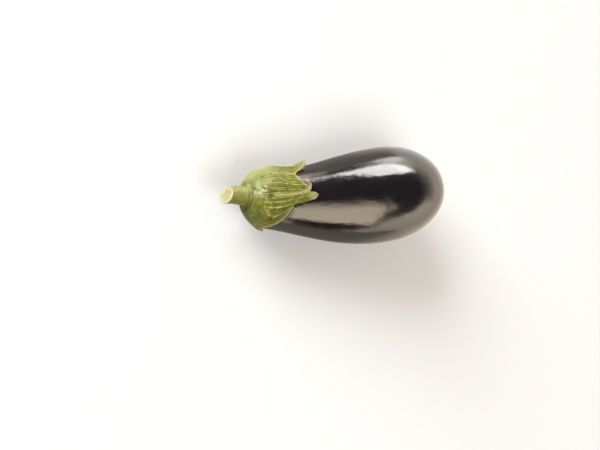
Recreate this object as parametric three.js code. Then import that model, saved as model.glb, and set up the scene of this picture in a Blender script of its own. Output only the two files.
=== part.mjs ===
// An eggplant, picked and lying on its side: the dark fruit, capped by its green calyx with the cut stalk.
//
// Millimetres, +Z up, and +X from the stalk to the blossom end. The origin is on the surface that the fruit
// lies on, under the middle of the whole.
//
// Both solids follow one shape, the fruit's skin. A profile gives the skin's radius from the crown, where the
// stalk grows, to the blossom end, and it is turned about a core line that bends a little. A place on the skin
// is a distance from the crown along the profile and an azimuth about the core: 0 on top, 90 degrees at +Y.

import * as THREE from "three";
import { ParametricGeometry } from "three/addons/geometries/ParametricGeometry.js";

const { degToRad, lerp, clamp } = THREE.MathUtils;

// The fruit.
const FRUIT_LENGTH = 175;
const NECK_RADIUS = 24;
const NECK_AT = 18; // how far from the crown the shoulder ends
const NECK_SLOPE = 0.07; // how fast the radius grows there
const NECK_HANDLES = [14, 32]; // how far the profile is held to that slope, back and on
const BELLY_RADIUS = 39.6;
const BELLY_AT = 121;
const BELLY_HANDLE = 41; // how far back the profile is held level
const OVAL = 0.02; // how much wider than tall a section is
const SHOULDER_FULLNESS = 0.58; // 0.55 is round, and more is blunter
const END_FULLNESS = 0.57;
const CORE_BEND = [
  [1, 6], // offsets to +Y and up at thirds of the length: both ends turn up and to +Y
  [-10.5, -4],
  [-9, -4],
  [3, 6],
];
const REST_PITCH = 7.5; // degrees that the neck leans down when the fruit lies still
const FLAT_DEPTH = 1; // what the flat spot under the belly takes off

// The stalk, from its root in the crown to its cut.
const STALK_LENGTH = 20;
const STALK_ROOT_RADIUS = 9;
const STALK_CUT_RADIUS = 6.7;
const STALK_RISE = 20; // degrees that it turns up along its length
const STALK_LEAN = 10; // degrees that it leans to -Y
const STALK_RIDGE = 0.05; // a ridge's height as a share of the radius
const CUT_EDGE = 0.6; // the worn edge of the cut

// The calyx: a cup that hugs the shoulder and splits into lobes.
const GAP = 0.4; // between the calyx and the skin
const CROWN_THICKNESS = 3.2;
const RIM_THICKNESS = 0.9;
const FLARE_HEIGHT = 2.2; // how far the crown draws up round the stalk
const FLARE_WIDTH = 2.5;
const ROOT_REACH = STALK_ROOT_RADIUS; // where the stalk takes over: the crown is flat there
const ROOT_HEIGHT = GAP + CROWN_THICKNESS + FLARE_HEIGHT;
const RIB_HEIGHT = 0.6;
const RIB_WIDTH = 2.6;
const CREASE_DEPTH = 0.9; // between neighbouring lobes
const CREASE_WIDTH = 2;
const KNUCKLE_HEIGHT = 1.5; // the swelling at a lobe's root
const KNUCKLE_AT = 19;
const KNUCKLE_SIZE = 7;
const CURL_LENGTH = 14; // how much of a lobe turns away from the skin

// Round the rim from one lobe to the next: the notch before the lobe and the lobe's own tip, each as an
// azimuth in degrees and a distance from the crown along the skin, and how far the tip stands off the skin.
const LOBES = [
  { notch: [-76, 27], tip: [8, 62.5], curl: 1.2 },
  { notch: [14, 55], tip: [24, 57.5], curl: 1.2 },
  { notch: [50, 46.5], tip: [76, 63], curl: 2.4 },
  { notch: [103, 46], tip: [138, 60], curl: 2.4 },
  { notch: [168, 38], tip: [200, 56], curl: 1.6 },
  { notch: [232, 30], tip: [260, 33], curl: 0.4 },
];
const FIRST_RIB_AZIMUTH = -28; // the ribs leave the stalk evenly, and lean to their tips from there
const RIB_SPACING = 360 / LOBES.length;
const TONGUE_LENGTH = 0.4; // how much of a lobe's length is its narrow tip
const TONGUE_WIDTH = 10; // degrees to each side
const TONGUE_BLUNTNESS = 2.6;

// How finely the faces are cut.
const FRUIT_ROWS = 36;
const FRUIT_COLUMNS = 64;
const COLUMN_WIDTH = 5; // degrees of the rim
const FEWEST_COLUMNS = 4; // from a notch to a tip
const TIP_CROWDING = 1.3; // above 1, columns stand closer together towards a tip
const STALK_ROWS = 5;
const OUTER_ROWS = 15;
const INNER_ROWS = 12;

// Half a section of the fruit: x out from the core, and y along it from the crown.
function makeProfile() {
  const [back, on] = NECK_HANDLES;
  const path = new THREE.Path().moveTo(0, 0);
  path.bezierCurveTo(
    SHOULDER_FULLNESS * NECK_RADIUS, 0,
    NECK_RADIUS - NECK_SLOPE * back, NECK_AT - back,
    NECK_RADIUS, NECK_AT,
  );
  path.bezierCurveTo(
    NECK_RADIUS + NECK_SLOPE * on, NECK_AT + on,
    BELLY_RADIUS, BELLY_AT - BELLY_HANDLE,
    BELLY_RADIUS, BELLY_AT,
  );
  path.bezierCurveTo(
    BELLY_RADIUS, lerp(BELLY_AT, FRUIT_LENGTH, END_FULLNESS),
    END_FULLNESS * BELLY_RADIUS, FRUIT_LENGTH,
    0, FRUIT_LENGTH,
  );
  return path;
}

const profile = makeProfile();
const core = new THREE.CubicBezierCurve3(
  ...CORE_BEND.map(([side, up], i) => new THREE.Vector3((FRUIT_LENGTH * i) / 3, side, up)),
);

// The directions across a line that runs forward, up and to +Y.
function acrossLine(forward) {
  const up = new THREE.Vector3(0, 0, 1).addScaledVector(forward, -forward.z).normalize();
  const side = new THREE.Vector3().crossVectors(up, forward);
  return { up, side: side.y < 0 ? side.negate() : side };
}

// A point so far along the core, and out from it to the side and up.
function fromCore(along, toSide, toUp) {
  const inside = clamp(along, 0, FRUIT_LENGTH);
  const forward = core.getTangent(inside / FRUIT_LENGTH);
  const { up, side } = acrossLine(forward);
  return core
    .getPoint(inside / FRUIT_LENGTH)
    .addScaledVector(forward, along - inside)
    .addScaledVector(side, toSide * (1 + OVAL))
    .addScaledVector(up, toUp);
}

// A point at a height over the skin.
function overSkin(distance, azimuth, height) {
  const share = distance / profile.getLength();
  const skin = profile.getPoint(share);
  const tangent = profile.getTangent(share);
  const radius = skin.x + height * tangent.y;
  return fromCore(skin.y - height * tangent.x, radius * Math.sin(azimuth), radius * Math.cos(azimuth));
}

// The fruit is a lathe turned about Y, laid along the core.
function makeFruitGeometry() {
  const geometry = new THREE.LatheGeometry(profile.getSpacedPoints(FRUIT_ROWS), FRUIT_COLUMNS);
  const position = geometry.getAttribute("position");
  for (let i = 0; i < position.count; i++) {
    const point = fromCore(position.getY(i), -position.getX(i), position.getZ(i));
    position.setXYZ(i, point.x, point.y, point.z);
  }
  return geometry;
}

// A bell-shaped bump, 1 at its middle.
function bump(away, width) {
  return Math.exp(-((away / width) ** 2));
}

// The notch and tip of each lobe, with the azimuths where their lines leave the stalk and reach the rim.
function makeLobes() {
  return LOBES.map(({ notch, tip, curl }, i) => {
    const rib = FIRST_RIB_AZIMUTH + RIB_SPACING * i;
    return {
      notch: { root: rib - RIB_SPACING / 2, rim: notch[0], reach: notch[1] },
      tip: { root: rib, rim: tip[0], reach: tip[1], curl },
    };
  });
}

// A column of the calyx runs from the stalk to the rim, at a share of the way from a notch to its tip.
function makeColumn(notch, tip, share) {
  const tongue = (degreesAway) => Math.exp(-((degreesAway / TONGUE_WIDTH) ** TONGUE_BLUNTNESS));
  const halfWidth = Math.abs(tip.rim - notch.rim);
  const atNotch = tongue(halfWidth);
  const tongueShare = (tongue(halfWidth * (1 - share)) - atNotch) / (1 - atNotch);
  return {
    notch,
    tip,
    root: lerp(notch.root, tip.root, share),
    rim: lerp(notch.rim, tip.rim, share),
    reach: lerp(notch.reach, tip.reach, lerp(share, tongueShare, TONGUE_LENGTH)),
  };
}

function makeColumns() {
  const lobes = makeLobes();
  const first = lobes[0].notch;
  const columns = [];
  lobes.forEach(({ notch, tip }, i) => {
    const last = i === lobes.length - 1;
    const next = last ? { ...first, root: first.root + 360, rim: first.rim + 360 } : lobes[i + 1].notch;
    const rising = Math.max(FEWEST_COLUMNS, Math.ceil((tip.rim - notch.rim) / COLUMN_WIDTH));
    const falling = Math.max(FEWEST_COLUMNS, Math.ceil((next.rim - tip.rim) / COLUMN_WIDTH));
    for (let k = 0; k < rising; k++) {
      columns.push(makeColumn(notch, tip, 1 - (1 - k / rising) ** TIP_CROWDING));
    }
    for (let k = 0; k < falling; k++) {
      columns.push(makeColumn(next, tip, 1 - (k / falling) ** TIP_CROWDING));
    }
  });
  columns.push(columns[0]);
  return columns;
}

// How far a column's point lies to the side of a notch's or tip's own line, in millimetres at that radius.
function asideOf(column, landmark, share, radius) {
  const degrees = lerp(column.root - landmark.root, column.rim - landmark.rim, share);
  return degToRad(degrees) * radius;
}

// The calyx's inner and outer heights over the skin on a column, at a share of the way from stalk to rim.
function calyxLayer(column, share) {
  const distance = lerp(ROOT_REACH, column.reach, share);
  const radius = profile.getPoint(distance / profile.getLength()).x;
  const fromRib = asideOf(column, column.tip, share, radius);
  const fromCrease = asideOf(column, column.notch, share, radius);
  const free = clamp((distance - column.tip.reach + CURL_LENGTH) / CURL_LENGTH, 0, 1);
  const lift = column.tip.curl * free ** 2 * bump(fromRib, 2 * RIB_WIDTH);
  const thickness = lerp(CROWN_THICKNESS, RIM_THICKNESS, Math.sqrt(share));
  const flare = FLARE_HEIGHT * Math.exp(-(distance - ROOT_REACH) / FLARE_WIDTH);
  const rib = RIB_HEIGHT * bump(fromRib, RIB_WIDTH) * (1 - share ** 4);
  const crease = CREASE_DEPTH * bump(fromCrease, CREASE_WIDTH) * Math.sin(Math.PI * Math.sqrt(share));
  const knuckle = KNUCKLE_HEIGHT * bump(distance - KNUCKLE_AT, KNUCKLE_SIZE) * bump(fromRib, KNUCKLE_SIZE);
  const inner = GAP + lift;
  return { distance, inner, outer: inner + thickness + flare + rib + knuckle - crease };
}

function calyxPoint(column, share, side) {
  const layer = calyxLayer(column, share);
  const azimuth = degToRad(lerp(column.root, column.rim, share));
  return overSkin(layer.distance, azimuth, layer[side]);
}

// The stalk's own line runs straight out of the crown, then turns up towards the cut.
function makeStalkLine() {
  const root = fromCore(-ROOT_HEIGHT, 0, 0);
  const bend = fromCore(-ROOT_HEIGHT - STALK_LENGTH / 2, 0, 0);
  const outwards = bend.clone().sub(root);
  const { up, side } = acrossLine(outwards.clone().normalize());
  const cut = bend
    .clone()
    .add(outwards)
    .addScaledVector(up, (Math.tan(degToRad(STALK_RISE)) * STALK_LENGTH) / 2)
    .addScaledVector(side, (-Math.tan(degToRad(STALK_LEAN)) * STALK_LENGTH) / 2);
  return new THREE.QuadraticBezierCurve3(root, bend, cut);
}

const stalkLine = makeStalkLine();

// A point on the stalk, at a share of the way from root to cut and of the full radius, and sunk in from it.
function stalkPoint(column, share, fullness, sink = 0) {
  const outwards = stalkLine.getTangent(share);
  const { up, side } = acrossLine(outwards);
  const azimuth = degToRad(column.root);
  const ridge = 1 + STALK_RIDGE * Math.cos(LOBES.length * degToRad(column.root - column.tip.root));
  const radius = lerp(STALK_CUT_RADIUS, STALK_ROOT_RADIUS, (1 - share) ** 2) * ridge * fullness;
  return stalkLine
    .getPoint(share)
    .addScaledVector(outwards, -sink)
    .addScaledVector(side, radius * Math.sin(azimuth))
    .addScaledVector(up, radius * Math.cos(azimuth));
}

// The calyx is one closed skin: out under the crown to the rim, back over the lobes, and up the stalk to
// its cut.
function makeCalyxGeometry() {
  const columns = makeColumns();
  const rows = [() => fromCore(-GAP, 0, 0)];
  for (let k = 0; k <= INNER_ROWS; k++) {
    rows.push((column) => calyxPoint(column, k / INNER_ROWS, "inner"));
  }
  for (let k = OUTER_ROWS; k >= 0; k--) {
    rows.push((column) => calyxPoint(column, k / OUTER_ROWS, "outer"));
  }
  for (let k = 1; k < STALK_ROWS; k++) {
    rows.push((column) => stalkPoint(column, k / STALK_ROWS, 1));
  }
  rows.push(
    (column) => stalkPoint(column, 1, 1, CUT_EDGE),
    (column) => stalkPoint(column, 1, 1 - CUT_EDGE / STALK_CUT_RADIUS),
    (column) => stalkPoint(column, 1, 0.5),
    (column) => stalkPoint(column, 1, 0),
  );
  return new ParametricGeometry(
    (u, v, target) => {
      const column = columns[Math.round(u * (columns.length - 1))];
      target.copy(rows[Math.round(v * (rows.length - 1))](column));
    },
    columns.length - 1,
    rows.length - 1,
  );
}

// Presses everything below the table flat against it.
function flatten(geometry, table) {
  const position = geometry.getAttribute("position");
  const point = new THREE.Vector3();
  for (let i = 0; i < position.count; i++) {
    point.fromBufferAttribute(position, i);
    if (table.distanceToPoint(point) < 0) {
      table.projectPoint(point, point);
      position.setXYZ(i, point.x, point.y, point.z);
    }
  }
}

const fruit = new THREE.Mesh(
  makeFruitGeometry(),
  new THREE.MeshStandardMaterial({ color: 0x120a12, roughness: 0.18, metalness: 0 }),
);
fruit.name = "fruit";

const calyx = new THREE.Mesh(
  makeCalyxGeometry(),
  new THREE.MeshStandardMaterial({ color: 0xa9b455, roughness: 0.6, metalness: 0 }),
);
calyx.name = "calyx_and_stalk";

// The pieces lie together as they grew, leaning as the fruit comes to rest, on a flat spot under the belly.
const lying = new THREE.Group().add(fruit, calyx);
lying.rotation.y = -degToRad(REST_PITCH);
lying.position.z = -new THREE.Box3().setFromObject(lying, true).min.z - FLAT_DEPTH;
lying.updateMatrixWorld();
const table = new THREE.Plane(new THREE.Vector3(0, 0, 1)).applyMatrix4(lying.matrixWorld.clone().invert());
flatten(fruit.geometry, table);

const eggplant = new THREE.Group().add(lying);
const middle = new THREE.Box3().setFromObject(eggplant, true).getCenter(new THREE.Vector3());
eggplant.position.set(-middle.x, -middle.y, 0);

export default eggplant;
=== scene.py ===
"""An eggplant lying on a pale floor: the dark glossy fruit, and its green calyx with the cut stalk.

Metres, +Z up and +X from the stalk to the blossom end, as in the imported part. Both pieces are shaped
straight, along X from the crown at 0. They are then bent along the fruit's core and laid down as it rests.

A place on the calyx is told by its distance from the crown along the skin, and by its azimuth round X in
degrees: 0 is on top, and 90 is on the side of +Y.
"""

from math import cos, pi, radians, sin, tan
from types import SimpleNamespace

import bpy
import numpy as np
from bpy.props import FloatProperty, FloatVectorProperty, PointerProperty
from mathutils import Matrix, Vector


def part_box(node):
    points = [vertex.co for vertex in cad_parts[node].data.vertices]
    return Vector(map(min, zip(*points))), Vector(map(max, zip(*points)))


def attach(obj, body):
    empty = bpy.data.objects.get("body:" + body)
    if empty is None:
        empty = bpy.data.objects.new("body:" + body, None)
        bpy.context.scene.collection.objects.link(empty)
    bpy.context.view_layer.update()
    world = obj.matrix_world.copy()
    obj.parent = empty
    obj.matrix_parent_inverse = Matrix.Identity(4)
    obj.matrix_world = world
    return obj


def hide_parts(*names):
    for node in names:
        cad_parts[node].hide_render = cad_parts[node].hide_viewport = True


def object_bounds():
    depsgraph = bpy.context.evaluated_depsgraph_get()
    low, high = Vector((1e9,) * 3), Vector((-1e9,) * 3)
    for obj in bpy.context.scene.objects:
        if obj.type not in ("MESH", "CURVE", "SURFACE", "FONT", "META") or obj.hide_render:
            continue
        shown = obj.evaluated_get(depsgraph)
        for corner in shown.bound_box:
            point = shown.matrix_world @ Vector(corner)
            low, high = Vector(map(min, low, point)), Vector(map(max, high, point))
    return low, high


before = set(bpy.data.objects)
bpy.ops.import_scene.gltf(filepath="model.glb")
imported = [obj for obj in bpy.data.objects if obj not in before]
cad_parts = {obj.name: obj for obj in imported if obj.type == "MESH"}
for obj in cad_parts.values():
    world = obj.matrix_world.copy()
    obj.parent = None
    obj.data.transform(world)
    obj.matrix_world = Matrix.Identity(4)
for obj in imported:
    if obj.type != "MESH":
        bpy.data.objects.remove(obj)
CAD_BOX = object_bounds()

bl_info = {
    "name": "Eggplant",
    "version": (1, 0, 0),
    "blender": (4, 5, 0),
    "location": "3D View > Sidebar > Eggplant",
    "description": "Makes an eggplant with its calyx and stalk, and a pale stage for it",
    "category": "Object",
}

MM = 0.001
SEED = 11

# The fruit's outline and core
NECK_HANDLES = (14 * MM, 32 * MM)
NECK_SLOPE = 0.07
BELLY_HANDLE = 41 * MM
SHOULDER_FULLNESS = 0.58
END_FULLNESS = 0.57
OVAL = 1.02
CORE_BEND = ((1 * MM, 6 * MM), (-10.5 * MM, -4 * MM), (-9 * MM, -4 * MM), (3 * MM, 6 * MM))
CORE_STEPS = 200
PROFILE_STEPS = 72
SPIN_STEPS = 224
PROFILE_SAMPLES = 400
MERGE_DISTANCE = 0.001 * MM

# The skin's own waves, with a width and a height, and the scar at the blossom end, in a dimple with a width
# and a depth
SKIN_WAVES = (26 * MM, 0.3 * MM)
SCAR_DIMPLE = (9 * MM, 1.1 * MM)
SCAR_RADIUS = 2.4 * MM

# The skin's finish: where along X the neck's and the end's colours start and are full, its gloss and its
# relief
SKIN_NECK = (0, -50 * MM)
SKIN_END = (78 * MM, 100 * MM)
SKIN_ROUGHNESS = (0.1, 0.17)
SCAR_ROUGHNESS = 0.45
SKIN_RIPPLE_DEPTH = 0.3 * MM
SKIN_RIDGE_DEPTH = 0.12 * MM
SKIN_GRAIN_DEPTH = 0.06 * MM

# Round the rim from one lobe to the next: the notch before the lobe and the lobe's own tip, each as an
# azimuth and a distance, and how far the tip stands off the skin
LOBES = (
    ((-76, 27 * MM), (8, 62.5 * MM), 1.2 * MM),
    ((14, 55 * MM), (24, 57.5 * MM), 1.2 * MM),
    ((50, 46.5 * MM), (70, 61 * MM), 2.8 * MM),
    ((103, 46 * MM), (138, 60 * MM), 2.4 * MM),
    ((168, 38 * MM), (200, 56 * MM), 1.6 * MM),
    ((232, 30 * MM), (260, 31 * MM), 0.4 * MM),
)
FIRST_RIB = -28
RIB_SPACING = 60
CURL_LENGTH = 14 * MM
TONGUE_LENGTH = 0.46
TONGUE_WIDTH = 10
TONGUE_BLUNTNESS = 5
LEAST_HALF_LOBE = 0.5
RIM_WAVES = ((9, 3), (17, 3), (31, 4), (47, 5))
RIM_WAVE_HEIGHT = 0.7 * MM

# The crown: it flares into the stalk, has a groove round it with a width and a depth, and swells most
# towards +Y
GAP = 0.4 * MM
FLARE_HEIGHT = 1.6 * MM
FLARE_WIDTH = 1.9 * MM
GROOVE_AT = 8.1 * MM
GROOVE = (0.8 * MM, 0.2 * MM)
DOME_HEIGHT = 2.5 * MM
DOME_LEAN = 1.3 * MM
DOME_AT = 12 * MM
DOME_WIDTH = 8 * MM

# Where the crown steps down to the folded lobes, in a fringe that follows the folds
CROWN_STEP = 0.5 * MM
CROWN_END = 21 * MM
CROWN_STEP_WIDTH = 2.5 * MM
CROWN_FRINGE = 6 * MM
FRINGE_MIDDLE = 0.4
CROWN_WANDER = 1.5 * MM
CROWN_WAVES = 3
CROWN_WAVE_COUNTS = (2, 9)

# The crest along one crease of the crown, where one lobe's root overlaps the next: its width and height, how
# soft its steep side is, and how far from the stalk it is full
CREST_TURN = FIRST_RIB + RIB_SPACING / 2
CREST = (6 * MM, 1 * MM)
CREST_EDGE = 1.1 * MM
CREST_START = 3 * MM

# The lobes' ribs, creases, folds and edges
RIB_HEIGHT = 0.6 * MM
RIB_WIDTH = 2.6 * MM
CREASE_DEPTH = 0.9 * MM
CREASE_WIDTH = 2 * MM
FOLD_COUNTS = (31, 47, 67, 89)
FOLD_LENGTH = 46 * MM
FOLD_HEIGHT = 0.55 * MM
FOLD_FADING = 0.6
FOLD_EDGES = (-0.125, 0.625)
TIP_SWELL = 0.9
TIP_START = (11 * MM, 2 * MM)
TIP_WIDTH = 6 * MM
ROLL_HEIGHT = 0.35 * MM
ROLL_WIDTH = 0.9 * MM
EDGE_ROUNDING = 0.35 * MM
LEAF_WAVES = (3.5 * MM, 0.35 * MM)

# The spots of each kind on the calyx: their size, how much shorter they are round it, and their places
SPOTS = {
    "bruise": (4.2 * MM, 1, ((17.5 * MM, -46),)),
    # Painted shade by the stalk's foot, on its side towards -Y
    "hollow": (2 * MM, 1, ((10.5 * MM, -78),)),
    "scar": (
        1.5 * MM,
        0.5,
        ((22 * MM, 5), (25.5 * MM, -41), (55 * MM, 80), (55 * MM, 26), (50 * MM, 21), (52 * MM, 33)),
    ),
    # Painted highlights: whitish spots where the crown's bumps catch the light
    "waxy": (
        2 * MM,
        1,
        ((10.5 * MM, 9), (13 * MM, 8), (15.5 * MM, 7), (17.5 * MM, 6.5), (15 * MM, 36), (21 * MM, 35)),
    ),
}

# Painted shade and painted light on the calyx: a darker, browner olive painted on the crown's side towards
# -Y and on the lobes towards +Y, and a paler green painted on the crown's and the stalk's sides towards +Y.
# Each is given as the azimuth of its middle, how far it reaches and, where it is less than 1, its share
PAINTED_SHADE_CROWN = (-62, 38)
SHADE_LOST_ON_LOBES = 0.6
PAINTED_SHADE_LOBES_FROM = (30, 80)
PAINTED_SHADE_LOBES_SHARE = 0.7
PAINTED_LIGHT_CROWN = (96, 44)
PAINTED_LIGHT_STALK = (50, 50, 0.75)

# The calyx's finish. Its coat is thicker on the crown than on the lobes and the stalk.
RIM_WIDTH = 1.6 * MM
GROOVE_SHADE = (1.8 * MM, 0.35)
FIBRE_LENGTH = 320 * MM
THREAD_DEPTH = 0.35 * MM
BLISTER_DEPTH = 0.6 * MM
FUZZ_DEPTH = 0.03 * MM
FUZZ_TINT = (0.95, 1, 0.75, 1)
LEAF_COAT = (0.45, 0.2)

# The stalk, which bends halfway and slants towards its cut. The cut's edge has a place along the stalk, a
# share of its radius and a drop.
STALK_LEAN = 10
STALK_RIDGES = 6
STALK_RIDGE = 0.05
STALK_TAPER = 1.2
STALK_START = 0.25
WRINKLE_HEIGHT = 0.3 * MM
WRINKLE_SPACING = 0.14
WRINKLES_FADE = 0.3
WRINKLE_SHADE = 0.3
CUT_SLANT = 22
CUT_SLANT_START = 0.5
CUT_EDGE = (0.985, 0.97, 0.15 * MM)
CUT_FACE_SHARE = 0.91
PITH_SHARE = 0.72
PITH_DEPTH = 0.12 * MM

# How finely the calyx and the stalk are woven. Columns crowd at the tips, and rows at the rim.
HALF_LOBE_COLUMNS = 36
TIP_CROWDING = 1.3
RIM_CROWDING = 1.15
UNDER_ROWS = 14
OVER_ROWS = 64
STALK_ROWS = 40
CUT_ROWS = 7

# The camera looks down on the stalk's side
CAMERA_ELEVATION = 58
CAMERA_ROLL = -4.4
CAMERA_DISTANCE = 1.06
CAMERA_LENS = 76.5
FRUIT_RIGHT = 29.5 * MM
FRUIT_ABOVE = 22.3 * MM

# The soft panels: the place, width, brightness and tint of each
KEY_LIGHT = ((-2.5, 3.3, 1.7), 3, 11.5, (0.95, 0.98, 1))
FILL_LIGHT = ((0.3, -2.2, 3.9), 3, 3.7, (0.96, 0.98, 1))

# The room that the skin mirrors, dark but for soft lights. A light fills the directions whose parts lie
# between edges: where it starts, where it is full, where it starts to fade, and where it is gone.
ROOM_DARK = 0.05
ROOM_AMBIENT = (0.42, 0.55)
SKIRT_ACROSS = (0.14, 0.3, 0.4, 0.7)
SKIRT_ASIDE = (0.6, 0.75, 1.1, 1.2)
SKIRT_BRIGHTNESS = 1.2
WARM_ACROSS = (-2, -1, 0.15, 0.24)
WARM_ASIDE = (-0.93, -0.88, -0.55, 0.06)
WARM_CORNER = -0.5
WARM_CORNER_SLOPE = 0.4
WARM_CORNER_EDGE = (-0.04, 0.04)
WARM_BRIGHTNESS = 3.6
BEIGE_ACROSS = (0.12, 0.2, 2, 3)
BEIGE_LEAN = 0.27
BEIGE_ASIDE = (-3, -2, -0.45, -0.05)
BEIGE_UP = (-2, -1, 0.5, 0.66)
GLOW_ACROSS = (0.1, 0.3, 2, 3)
GLOW_UP = (-2, -1, 0.05, 0.8)
GLOW_BRIGHTNESS = 2.2
HORIZON = (0, 0.45, 0.65, 1)
WHITE_TINT = (1, 0.99, 0.97, 1)
WARM_TINT = (1, 0.84, 0.62, 1)
BEIGE_TINT = (1, 0.86, 0.68, 1)
AMBIENT_TINT = (1, 0.86, 0.62, 1)

# The soft window beside the fruit, seen only where it is mirrored. Its edges are places along X and Z.
WINDOW_MIDDLE = (120 * MM, 150 * MM, 140 * MM)
WINDOW_SIZE = 260 * MM
WINDOW_ACROSS = (-6 * MM, 8 * MM, 130 * MM, 210 * MM)
WINDOW_SLANT = 2
WINDOW_SLANT_EDGE = (108 * MM, 130 * MM)
WINDOW_TOP = (192 * MM, 222 * MM)
WINDOW_CORNER = 45 * MM
WINDOW_FOOT_SLOPE = 0.6
WINDOW_FOOT = (57 * MM, 84 * MM)
WINDOW_BRIGHTNESS = 7.4
SILL_ACROSS = (48 * MM, 66 * MM, 90 * MM, 130 * MM)
SILL_UP = (50 * MM, 75 * MM, 95 * MM, 115 * MM)
SILL_BRIGHTNESS = 2

# The floor, and how it is lit and mirrored: where along X it gets bright, how much later it does so to the
# sides, where along Y it turns from warm to cool, and how it glows from near to far
FLOOR_SIZE = 8
FLOOR_DROP = 0.05 * MM
FLOOR_BRIGHT = (-20 * MM, 90 * MM)
FLOOR_NARROWING = 0.5
FLOOR_WARM = (-50 * MM, 120 * MM)
FLOOR_GLOW = (0.5, 3, 0.25, 0.5)
FLOOR_WARM_GLOW = (1, 0.91, 0.78, 1)
FLOOR_COOL_GLOW = (1, 0.97, 0.96, 1)

# Where a Mix node keeps its sockets for colours
MIX_A, MIX_B, MIX_RESULT = 6, 7, 2


def length(name, description, millimetres):
    """A property that holds one length."""
    return FloatProperty(name=name, description=description, default=millimetres * MM, unit="LENGTH")


def angle(name, description, degrees):
    """A property that holds one angle."""
    return FloatProperty(name=name, description=description, default=radians(degrees), unit="ROTATION")


def colour(name, description, red, green, blue):
    """A property that holds one colour."""
    return FloatVectorProperty(
        name=name,
        description=description,
        default=(red, green, blue, 1),
        size=4,
        min=0,
        max=1,
        subtype="COLOR",
    )


class EggplantShape(bpy.types.PropertyGroup):
    """Sizes of the fruit, its calyx and its stalk."""

    fruit_length: length("Fruit length", "From the crown to the blossom end", 175)
    neck_radius: length("Neck radius", "Half the fruit's width under the calyx", 24)
    neck_at: length("Neck at", "How far the neck is from the crown", 18)
    belly_radius: length("Belly radius", "Half the fruit's greatest width", 39.6)
    belly_at: length("Belly at", "How far the widest place is from the crown", 121)
    rest_pitch: angle("Rest pitch", "How far the neck leans down when the fruit lies still", 7.5)
    crown_thickness: length("Crown thickness", "Of the calyx round the stalk", 3.2)
    rim_thickness: length("Rim thickness", "Of the calyx at its rim", 0.9)
    stalk_length: length("Stalk length", "From the calyx to the cut", 20)
    stalk_root_radius: length("Stalk root radius", "Where it grows from the calyx", 7.8)
    stalk_cut_radius: length("Stalk cut radius", "At the cut", 6.7)
    stalk_rise: angle("Stalk rise", "How far the stalk turns up", 20)
    crown_at: FloatVectorProperty(
        name="Crown at",
        description="Where the crown lies, found by Make Fruit",
        default=(0, 0, 0),
        size=3,
        subtype="TRANSLATION",
    )


class EggplantColours(bpy.types.PropertyGroup):
    """Colours of the skin, the calyx, the stalk and the floor."""

    skin: colour("Skin", "The ripe skin over most of the fruit", 0.006, 0.005, 0.006)
    skin_lit: colour("Lighter skin", "Faint lengthwise streaks in the skin", 0.012, 0.007, 0.01)
    skin_neck: colour("Skin at the neck", "The redder skin beside the calyx", 0.014, 0.006, 0.008)
    skin_end: colour("Skin at the end", "The browner skin round the blossom end", 0.022, 0.011, 0.009)
    scar: colour("Scar", "The corky scar where the flower was", 0.22, 0.12, 0.05)
    leaf: colour("Calyx", "Most of the calyx", 0.15, 0.165, 0.01)
    leaf_deep: colour("Deep green", "Between the folds and in patches on the crown", 0.06, 0.078, 0.006)
    leaf_pale: colour("Pale green", "Along the folds, and in flecks", 0.43, 0.42, 0.085)
    # Painted shade: the browner olive laid on the crown's side towards -Y and on the lobes towards +Y
    painted_shade_olive: colour("Shaded green", "The browner olive of the side away from the sun", 0.17, 0.145, 0.02)
    # Painted light: the paler green laid on the crown's and the stalk's sides towards +Y
    painted_light_green: colour("Sunny green", "The paler green of the crown's sunny side", 0.46, 0.48, 0.18)
    # Painted highlights: the whitish spots on the crown
    painted_highlight_green: colour("Waxy spots", "Whitish spots on the crown", 0.5, 0.54, 0.3)
    cream: colour("Cream", "The very edge of the calyx, its tips and its creases", 0.5, 0.42, 0.2)
    dry: colour("Dry brown", "Dry scars on the calyx", 0.085, 0.055, 0.014)
    bruise: colour("Dark patch", "A darker patch low on the crown", 0.05, 0.085, 0.015)
    # Real dark specks on the stalk, and painted shade in the groove round it, between its wrinkles and by
    # its foot
    speck_and_hollow_shade: colour("Corky specks", "Dark specks on the stalk, and the groove round it", 0.035, 0.03, 0.008)
    stalk: colour("Stalk", "The side of the stalk", 0.16, 0.155, 0.022)
    cut: colour("Cut face", "The cut through the stalk", 0.56, 0.52, 0.25)
    pith: colour("Pith", "The middle of the cut", 0.43, 0.42, 0.26)
    floor: colour("Floor", "The pale floor", 0.758, 0.757, 0.79)
    floor_warm: colour("Warm floor", "The mirrored floor before the fruit's far end", 0.84, 0.75, 0.6)
    floor_cool: colour("Cool floor", "The mirrored floor behind the fruit's far end", 0.88, 0.84, 0.83)
    floor_dim: colour("Dim floor", "The mirrored floor round the stalk", 0.3, 0.28, 0.25)


def mix(low, high, share):
    """The value at a share of the way from low to high."""
    return low + (high - low) * share


def swell(away, width, height=1):
    """A smooth hump: its full height in the middle, and close to 0 from two widths away."""
    return height * np.exp(-((away / width) ** 2))


def ease(low, high, value):
    """A smooth step from 0 at low to 1 at high."""
    share = np.clip((value - low) / (high - low), 0, 1)
    return share * share * (3 - 2 * share)


# The fruit


def profile_knots(shape):
    """The outline's points with the handles before and after each, as pairs of place along X and radius."""
    shoulder = SHOULDER_FULLNESS * shape.neck_radius
    end_handle = mix(shape.belly_at, shape.fruit_length, END_FULLNESS)
    before_neck, after_neck = NECK_HANDLES
    return (
        ((0, -shoulder), (0, 0), (0, shoulder)),
        (
            (shape.neck_at - before_neck, shape.neck_radius - NECK_SLOPE * before_neck),
            (shape.neck_at, shape.neck_radius),
            (shape.neck_at + after_neck, shape.neck_radius + NECK_SLOPE * after_neck),
        ),
        (
            (shape.belly_at - BELLY_HANDLE, shape.belly_radius),
            (shape.belly_at, shape.belly_radius),
            (end_handle, shape.belly_radius),
        ),
        (
            (shape.fruit_length, END_FULLNESS * shape.belly_radius),
            (shape.fruit_length, 0),
            (shape.fruit_length, -END_FULLNESS * shape.belly_radius),
        ),
    )


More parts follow.
